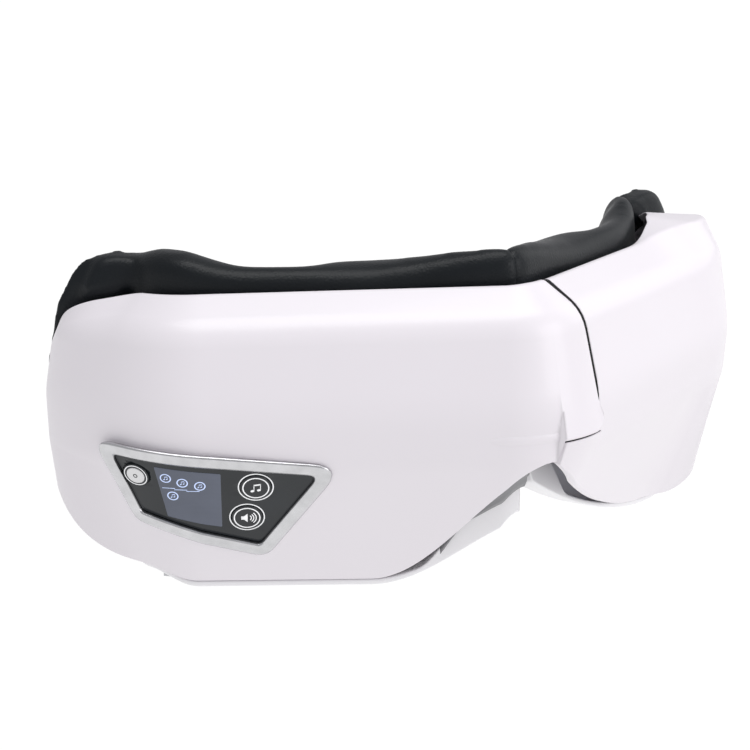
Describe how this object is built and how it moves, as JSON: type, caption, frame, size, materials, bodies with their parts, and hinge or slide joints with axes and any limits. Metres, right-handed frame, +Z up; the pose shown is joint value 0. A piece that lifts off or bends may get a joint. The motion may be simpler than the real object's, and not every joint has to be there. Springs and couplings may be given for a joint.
{
  "type": "eye massager mask",
  "caption": "Folding eye massager mask: angular glossy front shells, padded rear, angled control panel with a display and buttons, nose hinge and a rear head strap.",
  "frame": {"origin": "centre of the overall bounding box at the level of the surface it rests on, lobes open, strap slack behind", "axes": "+Z up, -Y the way the mask's front faces, +X to the wearer's left, towards the plain lobe"},
  "size_m": [0.1849, 0.1449, 0.0785],
  "materials": {
    "shell": "glossy white lacquer with a faint lavender tint",
    "casing": "satin white moulded plastic",
    "pad_leather": "soft slate black leatherette over foam, satin",
    "airbag_skin": "stretch knit over an air bladder",
    "film": "amber film",
    "motor_steel": "bright steel",
    "inner_plastic": "moulded natural plastic",
    "black_plastic": "satin black moulded plastic",
    "gaiter_rubber": "soft matt elastomer skin",
    "hinge_steel": "plain pressed steel",
    "washer_brass": "plain sheet brass",
    "bezel_silver": "satin silver",
    "panel_black": "polished dark smoked window",
    "display_grey": "blue-grey display behind the window",
    "board_green": "solder-masked board",
    "button_black": "polished black with white rings",
    "battery_wrap": "shrink sleeve",
    "port_metal": "plated steel shell",
    "strap_fabric": "woven elastic webbing"
  },
  "bodies": {
    "left_half": {"left_front_shell": "shell", "left_rear_casing": "casing", "left_face_pad": "pad_leather", "left_airbag": "airbag_skin", "left_heating_film": "film", "left_vibration_motor": "motor_steel", "left_air_pump": "motor_steel", "left_air_valve": "inner_plastic", "left_speaker": "black_plastic", "left_screws": "motor_steel", "nose_gaiter": "gaiter_rubber", "hinge_frame": "hinge_steel", "hinge_pin": "hinge_steel", "friction_washers": "washer_brass", "panel_bezel": "bezel_silver", "panel_glass": "panel_black", "display_module": "display_grey", "panel_board": "board_green", "button_switches": "washer_brass", "main_board": "board_green", "charging_port": "port_metal", "left_strap_anchor": "black_plastic", "head_strap": "strap_fabric"},
    "right_half": {"right_front_shell": "shell", "right_rear_casing": "casing", "right_face_pad": "pad_leather", "right_airbag": "airbag_skin", "right_heating_film": "film", "right_vibration_motor": "motor_steel", "right_air_pump": "motor_steel", "right_air_valve": "inner_plastic", "right_speaker": "black_plastic", "right_screws": "motor_steel", "hinge_arm": "hinge_steel", "battery": "battery_wrap", "right_strap_anchor": "black_plastic", "strap_slider": "black_plastic"},
    "power_button": {"power_button": "bezel_silver"},
    "music_button": {"music_button": "button_black"},
    "volume_button": {"volume_button": "button_black"}
  },
  "joints": [
    {"name": "fold", "type": "hinge", "parent": "left_half", "child": "right_half", "pos_m": [0, -0.04675, 0.05075], "axis": [0, 0, 1], "range_deg": [0, 85], "deforming": ["nose_gaiter", "head_strap"]},
    {"name": "power_press", "type": "slide", "parent": "left_half", "child": "power_button", "axis": [0.7371, 0.5383, 0.4086], "range_m": [0, 0.0008], "stiffness_N_per_m": 600},
    {"name": "music_press", "type": "slide", "parent": "left_half", "child": "music_button", "axis": [0.4355, 0.8021, 0.4086], "range_m": [0, 0.0008], "stiffness_N_per_m": 600},
    {"name": "volume_press", "type": "slide", "parent": "left_half", "child": "volume_button", "axis": [0.4355, 0.8021, 0.4086], "range_m": [0, 0.0008], "stiffness_N_per_m": 600}
  ]
}
